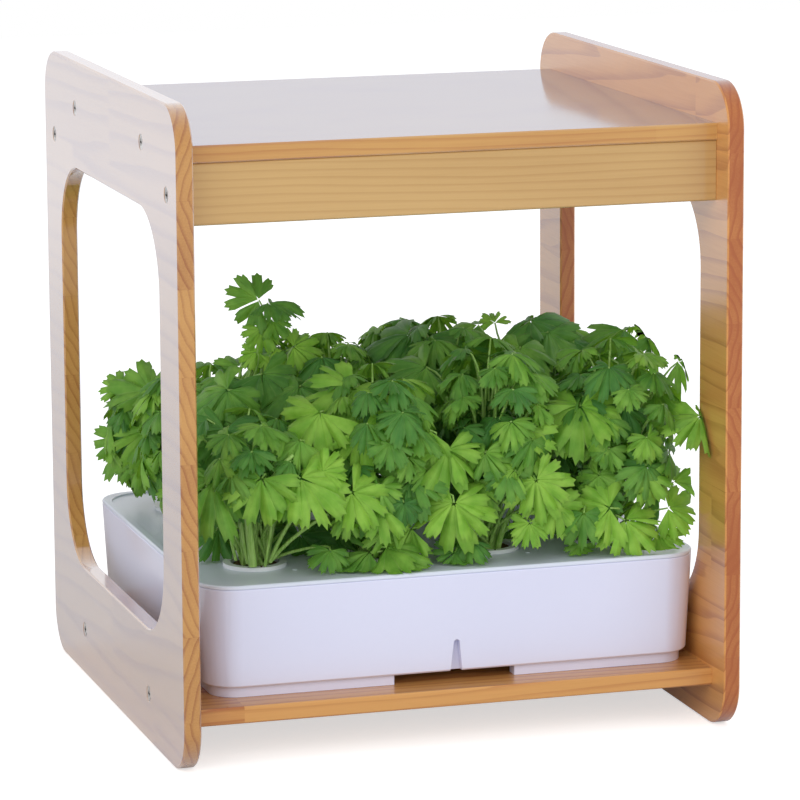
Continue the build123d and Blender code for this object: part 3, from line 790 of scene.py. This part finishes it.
# %% [markdown]
# ### A whole leaf and its stalk
# The leaflets spread from one point like an umbrella. Its centre leaflet points along
# the heading, the others turn away to both sides and are smaller. Leaves stay off the
# wooden walls and the lid, as real leaves are pushed aside there, and stalks stay 1 mm
# further in. The stalk is a curve with a round section that thins towards the leaf.

# %% One leaf
wall_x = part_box("right_panel")[0].x - 1.9 * MM
front_y = -158 * MM
rear_y = 160 * MM
lid_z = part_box("tank_lid")[1].z + 0.6 * MM
stalk_x = wall_x - MM
stalk_radii = [1.35, 1.15, 0.8, 0.55]
leaf_turns = {3: (0, 74, -74), 5: (0, 56, -56, 112, -112)}
side_share = 0.9
rear_share = 0.74
start_share = 0.035
blade_share = 0.96


def add_leaf(shape, stalks, root, centre, heading, normal, radius, count, tint_and_light_value, arch, chance):
    """Add a leaf to the bmesh and its stalk to the list of stalks."""
    heading = (heading - normal * heading.dot(normal)).normalized()
    side = heading.cross(normal).normalized()
    base = Matrix((side, heading, normal)).transposed().to_4x4()
    new_corners = []
    for turn in leaf_turns[count]:
        turn += chance.uniform(-8, 8)
        size = radius * (1.0 if abs(turn) < 20 else side_share if abs(turn) < 90 else rear_share)
        spin_matrix = base @ Matrix.Rotation(math.radians(turn), 4, "Z")
        way = spin_matrix.to_3x3() @ Vector((0, 1, 0))
        start = centre + way * size * start_share
        stand = (Matrix.Translation(start) @ spin_matrix
                 @ Matrix.Rotation(math.radians(chance.uniform(-26, 12)), 4, "X")
                 @ Matrix.Rotation(math.radians(chance.uniform(-24, 24)), 4, "Y"))
        new_corners += add_leaflet(shape, stand, size * blade_share,
                                   math.radians(chance.uniform(78, 100)),
                                   arch * chance.uniform(0.6, 1.3),
                                   tint_and_light_value + chance.uniform(-0.1, 0.1), chance)
    for corner in new_corners:
        corner.co.x = max(-wall_x, min(wall_x, corner.co.x))
        corner.co.y = max(front_y, min(rear_y, corner.co.y))
        corner.co.z = max(lid_z + 0.3 * MM * math.sin(corner.co.x * 900), corner.co.z)
    height = centre.z - root.z
    knee = root.lerp(centre, 0.22) + Vector((0, 0, height * 0.3))
    neck = centre - heading * radius * 0.45 - Vector((0, 0, height * 0.06))
    points = [root, knee, neck, centre.copy()]
    for point in points:
        point.x = max(-stalk_x, min(stalk_x, point.x))
    stalks.append((points, stalk_radii))


print("leaves stay within", round(wall_x / MM, 1), "mm of the middle")


# %% [markdown]
# ### Leaves that the photograph shows
# Each row is one leaf: its pixel, its depth in millimetres, its radius, the way its
# centre leaflet points in the picture in degrees, how far it faces the viewer from 0 to
# 1, its tint from 0, deep green, to 1, bright, which is partly painted light, and its
# number of leaflets. The first six make the tall sprig of plant 5, and every other leaf
# goes to the nearest cup.

# %% Leaves by pixel
seen_leaves = [
    (259, 300, 9, 24, 165, 0.95, 0.35, 3), (268, 303, 9, 22, -35, 0.25, 0.25, 3),
    (272, 320, 7, 15, -80, 0.7, 0.40, 3), (262, 329, 6, 16, -100, 0.9, 0.80, 3),
    (257, 352, 5, 14, -130, 0.9, 0.90, 3), (270, 356, 5, 12, -60, 0.8, 0.80, 3),
    (293, 347, 5, 20, 10, 0.6, 0.80, 3),
    (330, 349, 60, 26, 170, 0.35, 0.30, 3), (354, 354, 60, 26, -10, 0.35, 0.25, 3),
    (378, 356, 80, 20, 0, 0.3, 0.30, 3), (240, 367, 20, 22, 110, 0.7, 0.35, 3),
    (205, 374, 40, 24, 180, 0.4, 0.35, 3), (228, 390, -60, 34, -120, 0.6, 0.40, 5),
    (262, 374, -20, 30, -60, 0.5, 0.30, 3), (300, 386, -40, 34, -90, 0.5, 0.35, 5),
    (354, 388, -90, 38, -110, 0.7, 0.75, 5), (320, 412, -110, 30, -120, 0.8, 0.85, 3),
    (362, 432, -120, 24, -60, 0.8, 0.90, 3), (300, 440, -125, 24, -130, 0.7, 0.50, 3),
    (410, 334, 10, 38, 200, 0.5, 0.20, 5), (425, 338, 0, 34, -80, 0.7, 0.25, 3),
    (440, 370, -30, 34, -60, 0.6, 0.30, 5), (426, 367, -50, 30, -150, 0.4, 0.35, 3),
    (270, 440, -100, 28, -100, 0.7, 0.30, 3), (225, 430, -90, 34, -100, 0.7, 0.15, 5),
    (212, 480, -125, 36, -100, 0.9, 0.45, 3), (262, 478, -140, 28, -110, 0.9, 0.70, 3),
    (300, 478, -140, 34, -60, 0.8, 0.85, 3), (322, 472, -140, 18, 60, 0.9, 0.95, 3),
    (352, 492, -140, 26, -30, 0.9, 0.95, 3), (348, 512, -134, 18, -90, 0.9, 0.60, 3),
    (380, 505, -134, 24, -80, 0.6, 0.70, 3), (410, 480, -130, 26, -100, 0.9, 0.35, 3),
    (430, 430, -120, 26, -160, 0.8, 0.80, 3), (447, 450, -125, 30, -90, 0.8, 0.75, 5),
    (454, 503, -134, 32, -95, 1.0, 0.85, 5), (412, 528, -122, 24, 200, 0.9, 0.70, 3),
    (386, 547, -122, 30, -10, 0.5, 0.60, 3), (370, 552, -122, 24, 190, 0.5, 0.45, 3),
    (395, 557, -122, 22, -60, 0.5, 0.50, 3), (330, 550, -122, 16, -100, 0.5, 0.40, 3),
    (470, 540, -122, 18, -100, 0.6, 0.20, 3), (455, 552, -122, 16, -100, 0.7, 0.20, 3),
    (495, 323, 20, 13, 100, 0.6, 0.80, 3), (478, 325, 20, 24, 170, 0.4, 0.50, 3),
    (530, 321, 0, 34, 20, 0.3, 0.15, 5), (548, 332, -10, 28, -70, 0.6, 0.30, 3),
    (520, 347, -40, 30, -100, 0.5, 0.45, 5), (500, 364, -50, 22, 200, 0.7, 0.50, 3),
    (575, 352, -20, 24, 0, 0.4, 0.40, 3), (462, 395, -60, 30, -70, 0.7, 0.60, 5),
    (624, 330, -20, 34, 165, 0.30, 0.30, 5), (640, 347, -30, 28, -80, 0.8, 0.35, 3),
    (662, 336, -40, 30, -20, 0.30, 0.35, 5), (678, 362, -104, 20, -40, 0.35, 0.40, 3),
    (300, 534, -62, 30, -90, 0.8, 0.02, 5), (332, 528, -66, 28, -100, 0.8, 0.05, 5),
    (268, 530, -60, 26, -90, 0.8, 0.02, 5), (218, 528, -64, 24, -90, 0.8, 0.05, 5),
    (580, 528, -70, 24, -90, 0.8, 0.05, 5), (510, 528, -70, 24, -90, 0.8, 0.05, 5),
    (672, 360, -50, 24, -20, 0.5, 0.30, 3), (656, 390, -90, 34, -40, 0.5, 0.50, 5),
    (625, 386, -80, 28, 200, 0.5, 0.45, 3), (700, 416, -140, 27, -80, 0.8, 0.60, 5),
    (580, 406, -120, 34, -90, 0.7, 0.75, 5), (518, 430, -125, 28, -90, 0.8, 0.80, 3),
    (548, 420, -110, 24, -60, 0.7, 0.60, 3), (602, 438, -115, 22, -40, 0.7, 0.50, 3),
    (536, 480, -140, 28, -80, 0.9, 0.85, 5), (515, 470, -140, 20, 180, 0.9, 0.80, 3),
    (556, 505, -134, 22, -70, 0.9, 0.80, 3), (530, 523, -134, 16, -110, 0.9, 0.85, 3),
    (610, 508, -134, 26, 190, 0.9, 0.95, 3), (625, 520, -134, 26, -40, 0.9, 0.90, 3),
    (640, 472, -135, 22, -10, 0.8, 0.70, 3), (605, 470, -120, 18, -100, 0.7, 0.50, 3),
    (673, 482, -120, 20, 80, 0.9, 0.70, 3), (668, 508, -130, 22, 0, 0.8, 0.85, 3),
    (658, 533, -122, 20, -90, 0.8, 0.75, 3), (584, 513, -134, 22, -90, 0.8, 0.30, 3),
    (580, 545, -122, 12, -90, 0.8, 0.50, 3), (630, 548, -122, 12, 0, 0.4, 0.85, 3),
    (152, 392, 80, 32, 190, 0.7, 0.45, 5), (122, 388, 100, 18, 100, 0.6, 0.60, 3),
    (127, 440, 95, 28, -100, 0.8, 0.50, 3), (150, 430, 70, 30, -80, 0.8, 0.65, 3),
    (140, 458, 80, 22, -70, 0.7, 0.60, 3),
]
cups = {}
for number in cup_numbers:
    low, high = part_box(f"net_cup_{number}")
    cups[number] = Vector(((low.x + high.x) / 2, (low.y + high.y) / 2, high.z))
sprig_leaves = 6
sprig_plant = 5
placed = {number: [] for number in cups}
for index, (pixel_x, pixel_y, depth, radius, degrees, facing, bright, count) in enumerate(seen_leaves):
    centre = seen_at(pixel_x, pixel_y, depth * MM)
    near = min(cups, key=lambda number: (cups[number].xy - centre.xy).length)
    turn = math.radians(degrees)
    heading = camera_right * math.cos(turn) + camera_up * math.sin(turn)
    normal = (-ahead * facing + Vector((0, 0, 1.15 - facing))).normalized()
    placed[sprig_plant if index < sprig_leaves else near].append(
        (centre, heading, normal, radius * MM, count, bright))
print({number: len(leaves) for number, leaves in placed.items()}, "leaves by cup")

# %% [markdown]
# ### Stems that the photograph shows
# A few thick pale stems rise from the front cups in plain view. Each row is the cup, the
# pixels that the stem passes with their depths in millimetres, and its radius there.

# %% Stems by pixel
seen_stems = [
    (1, ((253, 566, -103), (251, 545, -104), (247, 512, -108)), (2.9, 2.7, 2.3)),
    (1, ((248, 563, -101), (243, 545, -102), (241, 514, -104)), (1.3, 1.3, 1.2)),
    (1, ((265, 566, -101), (268, 545, -103), (274, 513, -108)), (1.1, 1.1, 1.0)),
    (1, ((270, 562, -100), (278, 540, -105), (292, 519, -112)), (1.4, 1.3, 1.2)),
    (1, ((272, 560, -100), (290, 536, -108), (328, 514, -122)), (1.3, 1.3, 1.1)),
    (1, ((236, 560, -95), (230, 540, -98), (227, 510, -102)), (1.1, 1.1, 1.0)),
    (1, ((250, 500, -118), (248, 471, -128), (231, 438, -122)), (1.5, 1.5, 1.2)),
    (1, ((262, 500, -118), (272, 473, -130), (293, 455, -130)), (1.7, 1.7, 1.4)),
    (3, ((497, 551, -93), (501, 530, -98), (513, 506, -106)), (2.2, 2.0, 1.7)),
    (4, ((594, 520, -90), (595, 490, -100), (600, 450, -108)), (1.5, 1.5, 1.2)),
]
print(len(seen_stems), "stems by pixel")

# %% [markdown]
# ### The rest of each crown
# Chance fills the crown. A ring of leaves lies on its rounded side, turned outwards and
# down, and tips over to face up near the skyline. A few leaves lie inside with a deep
# green tint, which is painted shade. Where the photograph shows cups and stems uncovered,
# the front plants get none. The seed is the cup's number, so each run is the same.

# %% The shape of a crown
shell_leaves = 46
inner_leaves = 9
golden_turn = 2.4
sprig_crown_top = 217 * MM
crown_inset = 8 * MM
crown_gap = 4 * MM
bare_stem = 20 * MM
leaf_pixels_per_metre = 1100
clear_views = ((228, 516, 330, 572), (476, 508, 524, 556), (586, 520, 640, 548), (205, 540, 330, 590))
crown_rounding = ((0.0, 0.45), (0.15, 0.84), (0.4, 1.0), (0.75, 0.92), (1.0, 0.5))


def crown_share(level):
    """How much of its full width the crown has at this share of its height."""
    for (low, narrow), (high, wide) in zip(crown_rounding, crown_rounding[1:]):
        if level <= high:
            return narrow + (wide - narrow) * (level - low) / (high - low)
    return crown_rounding[-1][1]


def hides_cups(place, radius):
    """Whether a leaf here would cover what the photograph shows uncovered."""
    x, y = pixel_of(place)
    reach = radius * leaf_pixels_per_metre
    return any(left - reach < x < right + reach and up - reach < y < down + reach
               for left, up, right, down in clear_views)


print("half way up, a crown has", round(crown_share(0.5), 2), "of its width")


# %% Leaves by chance
def stalk_root(cup, chance):
    """Where a stalk leaves the foam plug of its cup."""
    turn = chance.uniform(0, math.tau)
    away = chance.uniform(2, 9) * MM
    return cup + Vector((math.cos(turn) * away, math.sin(turn) * away, -2 * MM))


def fill_crown(shape, stalks, number, chance):
    """Add the leaves that chance places in one plant's crown, and their stalks."""
    low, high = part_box(f"plant_{number}")
    top = sprig_crown_top if number == sprig_plant else high.z
    middle = (low + high) / 2
    foot_z = cups[number].z + bare_stem
    half = (high - low) / 2 - Vector((crown_inset, crown_inset, 0))
    for index in range(shell_leaves + inner_leaves):
        turn = index * golden_turn + chance.uniform(-0.3, 0.3)
        level = (index + 0.5) / shell_leaves
        reach = crown_share(level) * chance.uniform(0.9, 1.0)
        if index >= shell_leaves:
            level = chance.uniform(0.25, 0.8)
            reach = chance.uniform(0.1, 0.6)
        outward = Vector((math.cos(turn), math.sin(turn), 0))
        place = Vector((middle.x + outward.x * half.x * reach, middle.y + outward.y * half.y * reach, 0))
        place.z = foot_z + (top - crown_gap - foot_z) * level
        lift = 0.15 + 1.3 * level ** 2
        normal = (Vector((0, 0, lift)) + outward * (1.1 - 0.7 * level)).normalized()
        heading = outward * (0.15 + level) - Vector((0, 0, 1.2 - level))
        radius = chance.uniform(14, 23) * MM
        if number < 5 and hides_cups(place, radius):
            continue
        # Shell leaves get random tints, partly painted shade; inner leaves get 0.05, deep green, as
        # painted shade inside the crown.
        add_leaf(shape, stalks, stalk_root(cups[number], chance), place, heading, normal, radius,
                 chance.choice((3, 5, 5)), chance.uniform(0.08, 0.66) if index < shell_leaves else 0.05,
                 chance.uniform(0.25, 0.5), chance)


print("up to", shell_leaves + inner_leaves, "leaves by chance in a crown")

# %% [markdown]
# ### Stalks and the whole plant
# All stalks of a plant are splines of one curve with a round bevel, and each point has
# its own radius. The curve is made a mesh once and joined to the leaves, so that every
# plant is one piece with two finishes.


# %% Stalks
def stalk_mesh(number, stalks):
    """One mesh of all stalks of a plant."""
    line = bpy.data.curves.new(f"stalks_{number}", "CURVE")
    line.dimensions = "3D"
    line.bevel_depth = MM
    line.bevel_resolution = 1
    line.use_fill_caps = True
    line.resolution_u = 3
    for points, widths in stalks:
        spline = line.splines.new("NURBS")
        spline.points.add(len(points) - 1)
        for point, place, width in zip(spline.points, points, widths):
            point.co = (*place, 1)
            point.radius = width
        spline.order_u = 3
        spline.use_endpoint_u = True
    holder = bpy.data.objects.new(f"stalks_{number}", line)
    bpy.context.scene.collection.objects.link(holder)
    mesh = bpy.data.meshes.new_from_object(holder)
    bpy.data.objects.remove(holder)
    return mesh


print("a stalk thins from", stalk_radii[0], "to", stalk_radii[-1], "mm")


# %% Plants
def grow_plant(number):
    """One parsley plant in its cup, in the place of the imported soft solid."""
    chance = random.Random(number * 17)
    node = f"plant_{number}"
    shape = bmesh.new()
    for layer in ("tint_and_light", "fan", "rise"):
        shape.verts.layers.float.new(layer)
    stalks = []
    for centre, heading, normal, radius, count, bright in placed[number]:
        add_leaf(shape, stalks, stalk_root(cups[number], chance), centre, heading, normal, radius,
                 count, bright, 0.5 + 0.35 * normal.y, chance)
    fill_crown(shape, stalks, number, chance)
    for cup_number, way, widths in seen_stems:
        if cup_number == number:
            stalks.append(([seen_at(x, y, depth * MM) for x, y, depth in way], widths))

    leaf_faces = len(shape.faces)
    shape.from_mesh(stalk_mesh(number, stalks))
    shape.faces.ensure_lookup_table()
    for face in shape.faces:
        face.smooth = True
        face.material_index = 1 if face.index >= leaf_faces else 0
    plant = place_piece(f"parsley_{number}", shape, [leaf_skin.material, stem_skin.material], node)
    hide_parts(node)
    return plant


for number in cup_numbers:
    print("parsley", number, len(grow_plant(number).data.polygons), "faces")

# %% [markdown]
# ## Floor
# The planter stands on a pale floor in a white studio. The floor is diffuse and takes
# the planter's shadow, and Light Path lets it glow a little for the rays that come from
# the camera, so that it turns white in the picture and lights nothing. In the varnish
# the floor is dim near the planter and brighter further away, as in the photograph.

# %% Floor
floor_half = 4.0
floor_drop = 0.2 * MM
floor_glow = 0.6
mirror_near = 0.1
mirror_gain = 0.56
dim_until = 0.5
bright_from = 2.6

floor_shape = bmesh.new()
bmesh.ops.create_grid(floor_shape, x_segments=2, y_segments=2, size=floor_half,
                      matrix=Matrix.Translation((0, 0, -floor_drop)))
floor_mesh = bpy.data.meshes.new("studio_floor")
floor_shape.to_mesh(floor_mesh)
floor_shape.free()
studio_floor = bpy.data.objects.new("studio_floor", floor_mesh)
bpy.context.scene.collection.objects.link(studio_floor)

paper = Finish("floor_paper", roughness=0.9, specular_ior_level=0.1, base_color=(0.8, 0.8, 0.8, 1))
path = paper.node("LightPath").socket.node
seen = Field(paper, path.outputs["Is Camera Ray"])
mirrored = Field(paper, path.outputs["Is Glossy Ray"])
distance = paper.node("VectorMath", {"operation": "LENGTH"}, {0: paper.place()}, 1)
away = paper.fade(distance, dim_until, bright_from)
glowing = paper.node("Emission", {}, {"Color": (1, 1, 1, 1), "Strength": floor_glow})
lit = paper.node("AddShader", {}, {0: Field(paper, paper.shader.outputs[0]), 1: glowing})
paper.cover(seen + mirrored * (away * mirror_gain + mirror_near), lit)
floor_mesh.materials.append(paper.material)
print("floor", floor_mesh.name)

# %% [markdown]
# ## The studio around
# The world lights the object at a plain level, a touch cooler than white. The camera,
# mirrors and glass see it as pure white instead, again by Light Path.

# %% World
world_level = 0.66
world = bpy.data.worlds.new("studio")
bpy.context.scene.world = world
world.use_nodes = True
sky = Net(world.node_tree)
view_path = sky.node("LightPath").socket.node
bright_rays = (Field(sky, view_path.outputs["Is Camera Ray"])
               + Field(sky, view_path.outputs["Is Glossy Ray"])
               + Field(sky, view_path.outputs["Is Transmission Ray"]))
dim = sky.node("Background", {}, {"Color": (0.95, 0.97, 1.0, 1), "Strength": world_level})
white = sky.node("Background", {}, {"Color": (1, 1, 1, 1), "Strength": 1.0})
around = sky.node("MixShader", {}, {0: bright_rays, 1: dim, 2: white})
sky.feed(world.node_tree.nodes["World Output"].inputs["Surface"], around)
print("world", world.name)

# %% [markdown]
# ## Lamps
# Four large soft lamps shine on the middle of the planter: two from the left, one from
# the front right and a weak one from above, as the photograph's soft shading shows. The
# camera and the varnish don't see the lamps, only the white studio. Each row gives a
# lamp's place and size in metres and its power in watts.


# %% Lamps
def soft_lamp(name, place, aim, size, power):
    """Square soft lamp that shines from place towards aim."""
    data = bpy.data.lights.new(name, "AREA")
    data.shape = "SQUARE"
    data.size = size
    data.energy = power
    lamp = bpy.data.objects.new(name, data)
    turn = (aim - place).to_track_quat("-Z", "Y").to_matrix().to_4x4()
    lamp.matrix_world = Matrix.Translation(place) @ turn
    lamp.visible_camera = False
    lamp.visible_glossy = False
    bpy.context.scene.collection.objects.link(lamp)


lamps = {"front_left": ((-0.8, -2.6, 1.5), 2.0, 17), "left": ((-2.3, -1.7, 1.5), 2.0, 18),
         "front_right": ((1.9, -2.0, 0.8), 1.6, 12), "overhead": ((0.3, -0.3, 2.6), 1.6, 3)}
planter_middle = Vector((0, 0, 0.2))
for name, (place, size, power) in lamps.items():
    soft_lamp(name, Vector(place), planter_middle, size, power)
bpy.context.scene.view_settings.view_transform = "Standard"
print("lamps", list(lamps))
